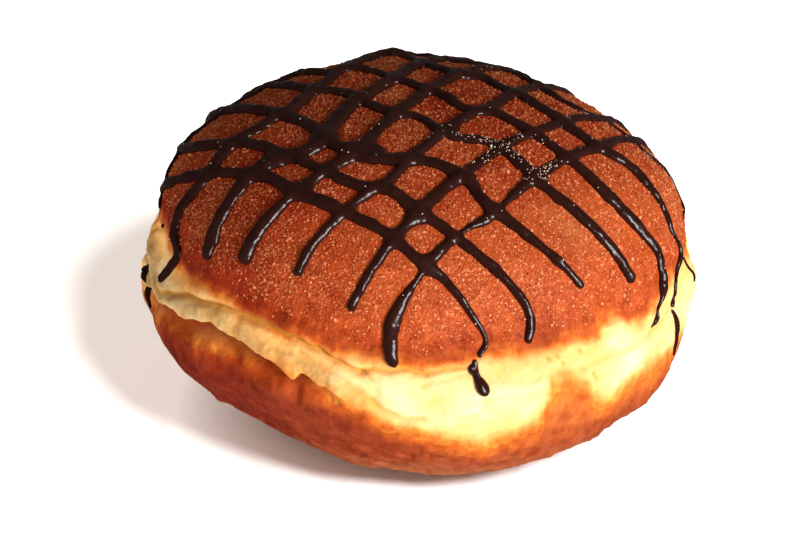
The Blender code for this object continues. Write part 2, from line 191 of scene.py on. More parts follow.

# Dough colours, from the pale waist to the browned crusts, those of its special places, and painted shade and
# highlight
CREAM = (0.78, 0.47, 0.20)
STRAW = (0.75, 0.39, 0.13)
GOLD = (0.66, 0.25, 0.055)
AMBER = (0.56, 0.15, 0.022)
RUST = (0.38, 0.055, 0.012)
CRUST = (0.27, 0.0265, 0.009)
DARK_CRUST = (0.225, 0.020, 0.006)
LOW_RUST = (0.29, 0.034, 0.006)
LOW_CRUST = (0.16, 0.0155, 0.006)
FOOT_BROWN = (0.27, 0.085, 0.034)
FAIR_BROWN = (0.38, 0.12, 0.036)
# The hollow under the lip: slightly browned dough, darkened further as painted shade
HOLLOW_BROWN_AND_SHADE = (0.30, 0.048, 0.010)
ORANGE_CRUST = (0.52, 0.13, 0.022)
# Golden tint along the crease and folds, a painted crease shade; in the pits, scorch
CREASE_SHADE_AND_SCORCH = (0.56, 0.25, 0.035)
# Painted highlight on the tops of the waist's lumps
PAINTED_LUMP_HIGHLIGHT = (0.80, 0.58, 0.31)
# Painted warm shade in the valleys between the waist's lumps
PAINTED_VALLEY_SHADE = (0.72, 0.38, 0.10)
BLACK, WHITE = (0.0, 0.0, 0.0), (1.0, 1.0, 1.0)

# The side, as an angle, where the crusts are painted paler, a painted light on the side the key lamp faces; the side,
# as an angle, where the lower crust turns orange; and fair patches: place, radius and share
PAINTED_LIGHT_SIDE = 300.0
FAIR_SIDE_BELOW = 318.0
FAIR_PATCHES = ((27.0, -27.0, 3.6, 0.6), (-45.5, -17.5, 2.6, 0.6), (45.0, -13.0, 3.0, 0.4))

# Camera, and the lights: azimuth, elevation and spread in degrees, strength and colour
VIEW_TARGET = (-3.07, 0.22, 24.1)
VIEW_ELEVATION = 29.0
VIEW_DISTANCE = 450.0
LENS = 121.3
KEY_LIGHT = (-45.0, 15.0, 28.0, 5.5, WHITE)
FILL_LIGHT = (205.0, 14.0, 90.0, 1.35, (1.0, 0.90, 0.76))
FLOOR_LIGHT = (-59.0, 40.0, 13.0, 6.0, WHITE)


def section(lift):
    power = 2 / ROUNDNESS
    return np.abs(np.cos(lift)) ** power, np.sign(lift) * np.abs(np.sin(lift)) ** power


def skin_table():
    """Reach along the skin and lift angle, down the mean section of the bun."""
    lift = np.linspace(math.pi / 2, -math.pi / 2, 721)
    out, up = section(lift)
    z = WIDEST_AT + np.where(up > 0, HEIGHT - WIDEST_AT, WIDEST_AT) * up
    r = RADIUS * out + WAIST_SWELL * bump(z - WIDEST_AT + WAIST_DROP, WAIST_WIDTH)
    r[0] = 0
    reach = np.concatenate([[0], np.cumsum(np.hypot(np.diff(r), np.diff(z)))])
    return reach, lift


def bump(distance, width):
    return np.exp(-(distance / width) ** 2)


def smooth(value, low, high):
    t = np.clip((value - low) / (high - low), 0, 1)
    return t * t * (3 - 2 * t)


def fade(angle, span, soft):
    """1 between two angles, falling to 0 over a soft stretch outside them."""
    outside = np.maximum(np.maximum(span[0] - angle, angle - span[1]), 0)
    return np.maximum(0, 1 - outside / soft)


def along(route, angle):
    """The reach of a crease or an edge at angles in degrees."""
    angles = np.array([a for a, _ in route], float)
    reaches = np.array([r for _, r in route], float)
    k = np.clip(np.searchsorted(angles, angle) - 1, 0, len(angles) - 2)
    t = np.clip((angle - angles[k]) / (angles[k + 1] - angles[k]), 0, 1)
    return reaches[k] + (reaches[k + 1] - reaches[k]) * t * t * (3 - 2 * t)


def away_from(route, angle, reach):
    """Distance in millimetres from a route round the waist, for every place on the skin."""
    x, y = np.radians(angle) * WAIST_RADIUS, reach
    corners = [(math.radians(a) * WAIST_RADIUS, r) for a, r in route]
    nearest = np.full(np.shape(x), 99.0)
    for (x0, y0), (x1, y1) in zip(corners, corners[1:]):
        length = (x1 - x0) ** 2 + (y1 - y0) ** 2
        t = np.clip(((x - x0) * (x1 - x0) + (y - y0) * (y1 - y0)) / length, 0, 1)
        nearest = np.minimum(nearest, np.hypot(x - x0 - t * (x1 - x0), y - y0 - t * (y1 - y0)))
    return nearest


def lumps(points, size, seed):
    """Smooth random heights, about -1 to 1, at places in millimetres. Size is the width of one lump."""
    count = 24
    grid = np.random.default_rng(SEED + seed).uniform(-1, 1, (count, count, count))
    place = points / size + 50
    cell = np.floor(place).astype(int)
    t = place - cell
    t = t * t * (3 - 2 * t)
    total = 0
    for corner in np.ndindex(2, 2, 2):
        weight = np.prod(np.where(corner, t, 1 - t), axis=-1)
        i, j, k = ((cell + corner) % count).T
        total = total + weight.T * grid[i, j, k].T.reshape(weight.T.shape)
    return total.T


SKIN_REACH, SKIN_LIFT = skin_table()
SKIN_LENGTH = SKIN_REACH[-1]


def outline(around, lobes):
    return 1 + sum(share * np.cos(count * around - math.radians(start)) for count, share, start in lobes)


def plain_points(around, reach):
    lift = np.interp(reach, SKIN_REACH, SKIN_LIFT)
    out, up = section(lift)
    widest = WIDEST_AT - SIDE_TILT * np.cos(around)
    z = widest + np.where(up > 0, HEIGHT - widest, widest) * up
    top_share = (1 + np.sin(lift)) / 2
    uneven = top_share * outline(around, TOP_LOBES) + (1 - top_share) * outline(around, BASE_LOBES)
    swell = WAIST_SWELL - WAIST_SWELL_LEFT * np.cos(around)
    r = RADIUS * uneven * out + swell * bump(z - widest + WAIST_DROP, WAIST_WIDTH)
    shift = np.where(up > 0, TOP_SHIFT * up, -BASE_SHIFT * up)
    return np.stack([r * np.cos(around) + shift, r * np.sin(around), z], axis=-1)


def skin_normals(around, reach):
    small = 0.3
    reach = np.clip(reach, 1.0, SKIN_LENGTH - 1.0)
    down = plain_points(around, reach + small) - plain_points(around, reach - small)
    turn = plain_points(around + 0.01, reach) - plain_points(around - 0.01, reach)
    normal = np.cross(down, turn)
    return normal / np.linalg.norm(normal, axis=-1, keepdims=True)


def edge_noise(around, reach, points):
    """Both crusts' distances: below the upper crust's edge, and above the lower crust's edge."""
    angle = np.degrees(around) % 360
    angle = np.where(angle < UPPER_EDGE[0][0], angle + 360, angle)
    wander = 0.7 * lumps(points * (1, 1, 0.4), 3.5, 1) + 0.35 * lumps(points * (1, 1, 0.5), 1.4, 2)
    return reach - along(UPPER_EDGE, angle) + wander, along(LOWER_EDGE, angle) - reach + wander


def lip(angle, reach, points):
    """The waist's crease and lip: distances below each of them, and how far apart the two lie."""
    wander = 0.30 * lumps(points, 3.0, 3)
    crease = along(CREASE, angle) + wander * 0.5
    edge = along(LIP_EDGE, angle) + wander + 0.30 * lumps(points, 1.1, 4)
    return reach - crease, reach - edge, np.maximum(edge - crease, 2.0)


def under_lip(angle, below_edge):
    """1 in the hollow just under the lip, falling to 0 down the lower crust and round the bun."""
    under = smooth(below_edge, -LIP_SHARPNESS, LIP_SHARPNESS) * (1 - smooth(below_edge, 0.8, HOLLOW_WIDTH))
    return under * fade(angle, HOLLOW_SPAN, HOLLOW_SOFT)


def folds(angle, reach):
    """The lesser folds and pits: how deep they lie, and their share of golden tint, painted shade in the folds and
    scorch in the pits.
    """
    depth, tint = 0.0, 0.0
    for deep, half_width, crease_shade_and_scorch, *route in FOLDS:
        line = bump(away_from(route, angle, reach), half_width)
        depth = np.maximum(depth, deep * line)
        tint = np.maximum(tint, crease_shade_and_scorch * line)
    x, y = reach * np.cos(np.radians(angle)), reach * np.sin(np.radians(angle))
    for pit_x, pit_y, radius in PITS:
        pit = bump(np.hypot(x - pit_x, y - pit_y), radius)
        depth = np.maximum(depth, 0.25 * pit)
        tint = np.maximum(tint, pit)
    return depth, tint


def waist_lumps(points):
    """Heights of the soft lumps of the waist's dough."""
    return 0.50 * lumps(points * (1, 1, 1.4), 5.2, 13) + 0.20 * lumps(points * (1, 1, 1.4), 1.9, 14)


def relief(around, reach, points):
    """How far the skin stands out from the plain form: lumps, creases, the torn lip and its hollow."""
    flank = np.sin(np.pi * np.clip(reach / SKIN_LENGTH, 0, 1))
    rise = sum(height * flank * np.sin(turns * around + falls * np.pi * reach / SKIN_LENGTH + start)
               for height, turns, falls, start in LUMPS)
    x, y = reach * np.cos(around), reach * np.sin(around)
    rise = rise + sum(height * bump(np.hypot(x - at_x, y - at_y), far) for at_x, at_y, far, height in BULGES)
    angle = np.degrees(around) % 360
    below_crease, below_edge, apart = lip(angle, reach, points)
    crease = fade(angle, CREASE_SPAN, CREASE_SOFT)
    rise = rise - CREASE_DEPTH * crease * bump(below_crease, CREASE_HALF_WIDTH)
    rise = rise + 0.35 * crease * bump(below_crease + 1.6, 1.2)
    rise = rise + LIP_RISE * fade(angle, LIP_SPAN, LIP_SOFT) * bump(below_edge + apart / 2, apart / 1.7)
    rise = rise - HOLLOW_DEPTH * under_lip(angle, below_edge) - folds(angle, reach)[0]
    torn = fade(angle, LIP_SPAN, LIP_SOFT) * bump(below_edge + 1.0, 2.2)
    rise = rise + torn * (0.16 * lumps(points, 1.2, 15) + 0.09 * lumps(points, 0.55, 16))
    crust = 1 - smooth(reach, 46, 50) + smooth(reach, 60, 68)
    foot = smooth(reach, 68, 75)
    wrinkles = 0.10 * lumps(points * (0.6, 0.6, 1.6), 2.0, 7) + 0.05 * lumps(points, 0.7, 8)
    waist = smooth(reach, 47, 51) * (1 - smooth(reach, 62, 67))
    rise = rise + waist * waist_lumps(points)
    rise = rise + 0.14 * lumps(points, 3.4, 5) + 0.04 * lumps(points, 0.9, 6) + crust * wrinkles
    return rise + foot * (0.30 * lumps(points, 2.6, 9) + 0.22 * lumps(points * (1, 1, 2), 1.3, 10))


def dough_points(around, reach, out=0.0):
    """Points of the bun in millimetres, standing out from its skin by a given amount."""
    plain = plain_points(around, reach)
    rise = relief(around, reach, plain) + out
    angle = np.degrees(around) % 360
    _, below_edge, _ = lip(angle, reach, plain)
    hang = LIP_OVERHANG * fade(angle, LIP_SPAN, LIP_SOFT) * bump(below_edge + 0.5, 0.7)
    points = plain_points(around, reach + hang) + skin_normals(around, reach) * rise[..., None]
    points[..., 0] -= CENTRE[0]
    points[..., 1] -= CENTRE[1]
    points[..., 2] = np.maximum(points[..., 2] - FOOT_PRESS, 0.0)
    return points


def new_piece(name, points, faces, material, normals=None):
    """A mesh object from points in millimetres and an array of faces with equal numbers of corners."""
    mesh = bpy.data.meshes.new(name)
    mesh.vertices.add(len(points))
    mesh.vertices.foreach_set("co", (np.asarray(points) * MM).astype(np.float32).ravel())
    sides = [np.asarray(part) for part in faces]
    corners = np.concatenate([part.ravel() for part in sides])
    counts = np.concatenate([np.full(len(part), part.shape[1]) for part in sides])
    mesh.loops.add(len(corners))
    mesh.loops.foreach_set("vertex_index", corners.astype(np.int32))
    mesh.polygons.add(len(counts))
    mesh.polygons.foreach_set("loop_start", (np.cumsum(counts) - counts).astype(np.int32))
    mesh.update(calc_edges=True)
    mesh.validate()
    mesh.shade_smooth()
    if normals is not None:
        mesh.normals_split_custom_set_from_vertices(normals)
    mesh.materials.append(material)
    piece = bpy.data.objects.new(name, mesh)
    bpy.context.scene.collection.objects.link(piece)
    return piece


def add_values(piece, name, values):
    layer = piece.data.attributes.new(name, "FLOAT", "POINT")
    layer.data.foreach_set("value", np.asarray(values, np.float32))


def make_dough(material):
    sectors = 760
    reaches = np.concatenate([np.arange(0.8, 44, 0.8), np.arange(44, 66, 0.27), np.arange(66, 78, 0.45),
                              np.arange(78, SKIN_LENGTH - 0.6, 1.0)])
    turn = np.radians(np.interp(np.arange(sectors) / sectors, (0, 0.66, 1), (184, 344, 544)))
    reach, around = np.meshgrid(reaches, turn, indexing="ij")
    reach = np.concatenate([reach.ravel(), [0.0, SKIN_LENGTH]])
    around = np.concatenate([around.ravel(), [0.0, 0.0]])
    index = np.arange(len(reaches) * sectors).reshape(len(reaches), sectors)
    beside = np.roll(index, -1, axis=1)
    quads = np.stack([index[:-1], index[1:], beside[1:], beside[:-1]], axis=-1).reshape(-1, 4)
    top, base = index.size, index.size + 1
    caps = np.concatenate([np.stack([np.full(sectors, top), index[0], beside[0]], axis=-1),
                           np.stack([np.full(sectors, base), beside[-1], index[-1]], axis=-1)])
    plain = plain_points(around, reach)
    piece = new_piece("dough", dough_points(around, reach), (quads, caps), material)
    below, above = edge_noise(around, reach, plain)
    angle = np.degrees(around) % 360
    below_crease, below_edge, _ = lip(angle, reach, plain)
    crease = fade(angle, CREASE_SPAN, CREASE_SOFT) * bump(below_crease, CREASE_HALF_WIDTH * 0.9)
    add_values(piece, "below_upper_crust", below)
    add_values(piece, "above_lower_crust", above)
    add_values(piece, "under_lip", under_lip(angle, below_edge))
    # Painted crease shade along the crease and folds, with scorch in the pits
    add_values(piece, "crease_shade_and_scorch", np.maximum(0.9 * crease, folds(angle, reach)[1]))
    add_values(piece, "reach", reach)
    # Painted light: a share that makes the crust paler on the side the key lamp faces
    add_values(piece, "painted_light", smooth(reach, 11, 42) * smooth(np.cos(np.radians(angle - PAINTED_LIGHT_SIDE)), -0.2, 1.0))
    add_values(piece, "fair_patch", fair_patch(around, reach))
    add_values(piece, "fair_below", smooth(np.cos(np.radians(angle - FAIR_SIDE_BELOW)), 0.5, 0.97))
    add_values(piece, "swollen", waist_lumps(plain))
    add_values(piece, "torn", fade(angle, LIP_SPAN, LIP_SOFT) * bump(below_edge + 1.0, 2.2))
    return piece


def fair_patch(around, reach):
    x, y = reach * np.cos(around), reach * np.sin(around)
    return sum(share * bump(np.hypot(x - at_x, y - at_y), radius) for at_x, at_y, radius, share in FAIR_PATCHES)


def smooth_route(points, step):
    """Places about one step apart on a smooth curve through the given places."""
    knots = [np.array(p, float) for p in points]
    knots = [2 * knots[0] - knots[1], *knots, 2 * knots[-1] - knots[-2]]
    route = []
    for p0, p1, p2, p3 in zip(knots, knots[1:], knots[2:], knots[3:]):
        count = max(1, round(np.linalg.norm(p2 - p1) / step))
        for i in range(count):
            t = i / count
            route.append(0.5 * (2 * p1 + (p2 - p0) * t + (2 * p0 - 5 * p1 + 4 * p2 - p3) * t * t
                                + (3 * p1 - p0 - 3 * p2 + p3) * t * t * t))
    route.append(knots[-2])
    return np.array(route)


class SkinGrid:
    """A square grid over the peeled skin that holds how deep each place lies in the drizzle."""

    def __init__(self):
        self.low = np.array([-64.0, -63.0])
        self.shape = (int(134 / CELL), int(114 / CELL))
        self.x = self.low[0] + CELL * np.arange(self.shape[0])
        self.y = self.low[1] + CELL * np.arange(self.shape[1])
        self.height = -0.12 + LAYER_STEP * np.arange(LAYERS)
        self.sum = np.zeros((*self.shape, LAYERS))

    def add_stroke(self, route, halves):
        """Adds one string: its route, and half its width at each place of the route."""
        margin = 3.0
        share = np.full(self.shape, 9.0)
        half = np.ones(self.shape)
        for a, b, half_a, half_b in zip(route, route[1:], halves, halves[1:]):
            low = np.floor((np.minimum(a, b) - margin - self.low) / CELL).astype(int)
            high = np.ceil((np.maximum(a, b) + margin - self.low) / CELL).astype(int)
            i = slice(max(low[0], 0), min(high[0], self.shape[0]))
            j = slice(max(low[1], 0), min(high[1], self.shape[1]))
            dx, dy = self.x[i, None] - a[0], self.y[None, j] - a[1]
            step = b - a
            t = np.clip((dx * step[0] + dy * step[1]) / max(step @ step, 1e-9), 0, 1)
            here = half_a + (half_b - half_a) * t
            away = np.hypot(dx - t * step[0], dy - t * step[1]) / here
            half[i, j] = np.where(away < share[i, j], here, half[i, j])
            share[i, j] = np.minimum(share[i, j], away)
        self.add_share(share, half)

    def add_pool(self, x, y, radius):
        share = np.hypot(self.x[:, None] - x, self.y[None, :] - y) / radius
        self.add_share(share, np.full(self.shape, radius))

    def add_share(self, share, half):
        """Adds what lies within a share of 1, as a rounded bead that strays in height and at its edges."""
        i, j = np.argwhere(share < 3.5).T
        place = np.stack([self.x[i], self.y[j], np.zeros(len(i))], axis=-1)
        rim = share[i, j] * (1 + EDGE_STRAY * lumps(place, 1.5, 40) + 0.5 * EDGE_STRAY * lumps(place, 0.7, 41))
        tall = BEAD_HEIGHT * (1 + BEAD_STRAY * lumps(place, 3.1, 42) + 0.5 * BEAD_STRAY * lumps(place, 1.3, 43))
        tall = tall * np.clip(half[i, j], 0.35, 1.0)
        up = (self.height[None, :] - BEAD_CENTRE) / tall[:, None]
        depth = 1 - np.sqrt(rim[:, None] ** 2 + up ** 2)
        self.sum[i, j] += np.exp(depth / MEET_BLUR)

    def depth(self):
        return MEET_BLUR * np.log(np.maximum(self.sum, 1e-12))

    def depth_at(self, x, y, layer=1):
        """The drizzle's depth at places on the skin: above 0 where chocolate covers them."""
        i = np.clip(((x - self.low[0]) / CELL).round().astype(int), 0, self.shape[0] - 1)
        j = np.clip(((y - self.low[1]) / CELL).round().astype(int), 0, self.shape[1] - 1)
        return MEET_BLUR * np.log(np.maximum(self.sum[i, j, layer], 1e-12))

    def top_at(self, x, y):
        """How high the drizzle's top stands over the skin at places on it, 0 where there is none."""
        high = np.zeros(len(x))
        for layer in range(1, LAYERS - 1):
            depth, above = self.depth_at(x, y, layer), self.depth_at(x, y, layer + 1)
            t = np.clip(depth / np.maximum(depth - above, 1e-6), 0, 1)
            high = np.where(depth > 0, self.height[layer] + LAYER_STEP * t, high)
        return np.maximum(high, 0)


def lay_drizzle():
    grid = SkinGrid()
    rng = np.random.default_rng(SEED)
    for number, (widths, *points) in enumerate(STROKES):
        route = smooth_route(points, 0.5)
        run = np.concatenate([[0], np.cumsum(np.linalg.norm(np.diff(route, axis=0), axis=1))])
        beats = rng.uniform(-1, 1, int(run[-1] / BEAT) + 3)
        uneven = 1 + 0.13 * np.interp(run / BEAT, np.arange(len(beats)), beats)
        if number == THIN_STROKE:
            for x, y, far, left in THIN_PLACES:
                uneven *= 1 - (1 - left) * bump(np.hypot(route[:, 0] - x, route[:, 1] - y), far)
        stations = np.linspace(0, 1, len(widths))
        grid.add_stroke(route, np.interp(run / run[-1], stations, widths) / 2 * uneven)
    for pool in POOLS:
        grid.add_pool(*pool)
    return grid


def net_surface(field, origin, steps):
    """The surface where a field on a regular grid crosses 0: points, and faces with four corners."""
    inside = field > 0
    cells = np.zeros(tuple(n - 1 for n in field.shape), bool)
    corners = [inside[a:n0, b:n1, c:n2] for a, n0 in ((0, -1), (1, None))
               for b, n1 in ((0, -1), (1, None)) for c, n2 in ((0, -1), (1, None))]
    cells = ~(np.all(corners, axis=0) | ~np.any(corners, axis=0))
    where = np.argwhere(cells)
    number = np.full(cells.shape, -1)
    number[tuple(where.T)] = np.arange(len(where))
    total = np.zeros((len(where), 3))
    count = np.zeros(len(where))
    offsets = list(np.ndindex(2, 2, 2))
    for a in offsets:
        for axis in range(3):
            if a[axis] == 1:
                continue
            b = list(a)
            b[axis] = 1
            ca, cb = where + a, where + b
            fa, fb = field[tuple(ca.T)], field[tuple(cb.T)]
            crossing = (fa > 0) != (fb > 0)
            t = np.where(crossing, fa / np.where(crossing, fa - fb, 1), 0)
            total += np.where(crossing[:, None], ca + t[:, None] * (cb - ca), 0)
            count += crossing
    points = total / count[:, None] * steps + origin
    faces = []
    for axis in range(3):
        one, two = [k for k in range(3) if k != axis]
        start = [slice(None)] * 3
        start[axis] = slice(0, -1)
        end = [slice(None)] * 3
        end[axis] = slice(1, None)
        change = inside[tuple(start)] != inside[tuple(end)]
        at = np.argwhere(change)
        keep = (at[:, one] > 0) & (at[:, two] > 0)
        keep &= (at[:, one] < cells.shape[one]) & (at[:, two] < cells.shape[two])
        at = at[keep]
        ring = []
        for da, db in ((0, 0), (1, 0), (1, 1), (0, 1)):
            cell = at.copy()
            cell[:, one] -= da
            cell[:, two] -= db
            ring.append(number[tuple(cell.T)])
        quad = np.stack(ring, axis=-1)
        outward = inside[tuple(at.T)] ^ (axis == 1)
        faces.append(np.where(outward[:, None], quad, quad[:, ::-1]))
    return points, np.concatenate(faces)


def make_chocolate(grid, material):
    field = grid.depth()
    points, faces = net_surface(field, (*grid.low, grid.height[0]), (CELL, CELL, LAYER_STEP))
    around, reach = np.arctan2(points[:, 1], points[:, 0]), np.hypot(points[:, 0], points[:, 1])
    placed = dough_points(around, reach, points[:, 2])
    return new_piece("chocolate", placed, (faces,), material)


def random_turns(rng, count):
    q = rng.normal(size=(count, 4))
    q /= np.linalg.norm(q, axis=1, keepdims=True)
    w, x, y, z = q.T
    return np.stack([np.stack([1 - 2 * (y * y + z * z), 2 * (x * y - z * w), 2 * (x * z + y * w)], -1),
                     np.stack([2 * (x * y + z * w), 1 - 2 * (x * x + z * z), 2 * (y * z - x * w)], -1),
                     np.stack([2 * (x * z - y * w), 2 * (y * z + x * w), 1 - 2 * (x * x + y * y)], -1)],
                    axis=1)


CUBE = np.array(list(np.ndindex(2, 2, 2))) - 0.5
CUBE_SIDES = np.array([(0, 1, 3, 2), (4, 6, 7, 5), (0, 4, 5, 1), (2, 3, 7, 6), (0, 2, 6, 4), (1, 5, 7, 3)])
CHIP = np.array([(1, 1, 1), (1, -1, -1), (-1, 1, -1), (-1, -1, 1)]) * 0.45
CHIP_SIDES = np.array([(0, 1, 2), (0, 3, 1), (0, 2, 3), (1, 3, 2)])


def make_sugar(name, count, size, shape, sides, grid, material, seed):
    """Sugar strewn over the upper crust, thinner towards its edge, and on the dusted chocolate."""
    rng = np.random.default_rng(SEED + seed)
    tries = count * 6
    x, y = rng.uniform(-54, 54, (2, tries))
    around, reach = np.arctan2(y, x), np.hypot(x, y)
    plain = plain_points(around, reach)
    below, _ = edge_noise(around, reach, plain)
    closeness = np.clip(np.hypot(plain[:, 0], plain[:, 1]) / np.maximum(reach, 5), 0, 1)
    patches = 0.80 + 0.40 * lumps(plain, 5.0, 11) + 0.30 * lumps(plain, 1.8, 12)
    chance = closeness * patches * smooth(-below, 0.3, 8.0)
    dusted = sum(bump(np.hypot(x - at_x, y - at_y), far) for at_x, at_y, far in DUSTED)
    top = grid.top_at(x, y)
    bare = grid.depth_at(x, y) < -0.10
    chance = np.where(bare, chance, np.where(top > 0.3, 0.003 + 0.30 * dusted, 0))
    keep = np.flatnonzero(rng.uniform(0, 1.3, tries) < chance)[:count]
    edge = rng.uniform(*size, len(keep))
    centre = dough_points(around[keep], reach[keep], 0.04 * edge + top[keep])
    corner = shape[None] * edge[:, None, None] * rng.uniform(0.65, 1.15, (len(keep), 1, 3))
    corner = corner * (1 + 0.25 * rng.uniform(-1, 1, (len(keep), len(shape), 3)))
    corner = np.einsum("nij,nkj->nki", random_turns(rng, len(keep)), corner)
    on_chocolate = top[keep] > 0
    corner = corner * np.where(on_chocolate, 0.6, 1.0)[:, None, None]
    points = (centre[:, None] + corner).reshape(-1, 3)
    faces = (np.arange(len(keep))[:, None, None] * len(shape) + sides[None]).reshape(-1, sides.shape[1])
    apart = corner / np.linalg.norm(corner, axis=-1, keepdims=True)
    facing = 0.75 * skin_normals(around[keep], reach[keep])[:, None] + 0.45 * apart
    facing = (facing / np.linalg.norm(facing, axis=-1, keepdims=True)).reshape(-1, 3)
    piece = new_piece(name, points, (faces,), material, facing)
    whiteness = np.where(on_chocolate, 2, rng.uniform(0, 1, len(keep)) ** 3.5)
    add_values(piece, "whiteness", np.repeat(whiteness, len(shape)))
    return piece


def start_material(name):
    material = bpy.data.materials.new(name)
    material.use_nodes = True
    nodes, links = material.node_tree.nodes, material.node_tree.links
    return material, nodes, links, nodes["Principled BSDF"]


def add_node(nodes, kind, **settings):
    node = nodes.new(kind)
    for key, value in settings.items():
        setattr(node, key, value)
    return node


def noise(nodes, links, place, scale, detail=2.0, roughness=0.5):
    """Noise in a place's own size: scale is lumps to the metre."""
    node = nodes.new("ShaderNodeTexNoise")
    node.inputs["Scale"].default_value = scale
    node.inputs["Detail"].default_value = detail
    node.inputs["Roughness"].default_value = roughness
    links.new(place, node.inputs["Vector"])
    return node.outputs["Fac"]


def ramp(nodes, links, value, low, high, stops):
    """A colour ramp over a value's range: stops are a place in that range and a colour."""
    spread = nodes.new("ShaderNodeMapRange")
    spread.inputs["From Min"].default_value = low
    spread.inputs["From Max"].default_value = high
    links.new(value, spread.inputs["Value"])
    node = nodes.new("ShaderNodeValToRGB")
    links.new(spread.outputs["Result"], node.inputs["Fac"])
    band = node.color_ramp
    while len(band.elements) < len(stops):
        band.elements.new(0.5)
    for element, (at, colour) in zip(band.elements, stops):
        element.position = (at - low) / (high - low)
        element.color = (*colour, 1.0)
    return node.outputs["Color"]


def mix(nodes, links, kind, factor, first, second):
    node = nodes.new("ShaderNodeMix")
    node.data_type = "RGBA"
    node.blend_type = kind
    for socket, value in ((node.inputs[0], factor), (node.inputs[6], first), (node.inputs[7], second)):
        if isinstance(value, bpy.types.NodeSocket):
            links.new(value, socket)
        elif isinstance(value, tuple):
            socket.default_value = (*value, 1.0)
        else:
            socket.default_value = value
    return node.outputs[2]


def sums(nodes, links, kind, first, second):
    node = nodes.new("ShaderNodeMath")
    node.operation = kind
    for socket, value in zip(node.inputs, (first, second)):
        if isinstance(value, bpy.types.NodeSocket):
            links.new(value, socket)
        else:
            socket.default_value = value
    return node.outputs[0]


def values_of(nodes, name):
    return add_node(nodes, "ShaderNodeAttribute", attribute_name=name).outputs["Fac"]


